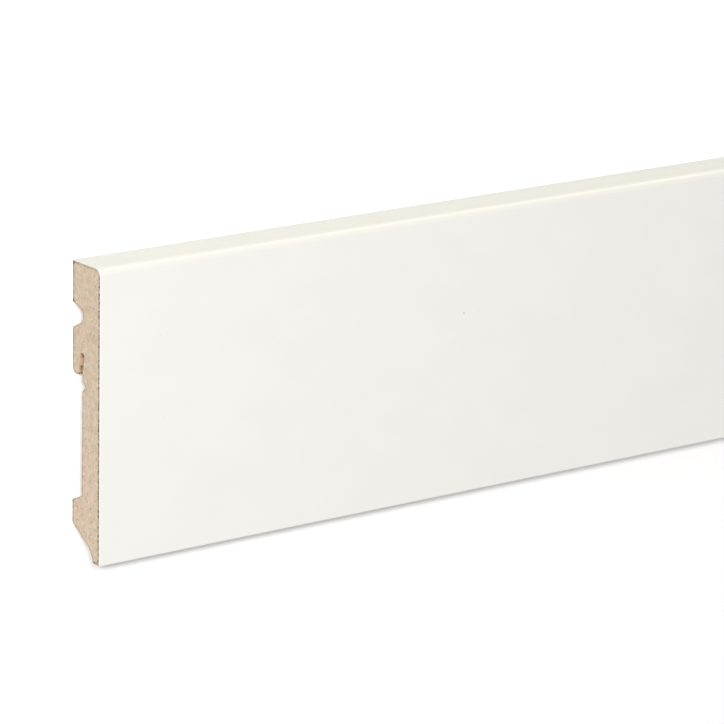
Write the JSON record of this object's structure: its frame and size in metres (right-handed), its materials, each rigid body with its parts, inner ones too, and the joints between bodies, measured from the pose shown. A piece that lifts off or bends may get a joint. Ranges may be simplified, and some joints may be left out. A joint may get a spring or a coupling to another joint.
{
  "type": "skirting board",
  "caption": "Length of white foil-wrapped fibreboard skirting board, rounded along its top edge, with a cable groove and a clip recess milled along its back.",
  "frame": {"origin": "middle of the board's length and height, in the plane of its wall side, which is also the level surface that it lies on", "axes": "+X along the board, +Y from the bottom edge that meets the floor to the rounded top edge, +Z from the wall side to the white room side"},
  "size_m": [2.4, 0.1, 0.016],
  "materials": {
    "fibreboard": "bare milled medium-density fibreboard, beige with fine fibre specks",
    "white_foil": "smooth satin white, slightly warm"
  },
  "bodies": {
    "root": {"mdf_core": "fibreboard", "foil_wrap": "white_foil"}
  },
  "joints": []
}
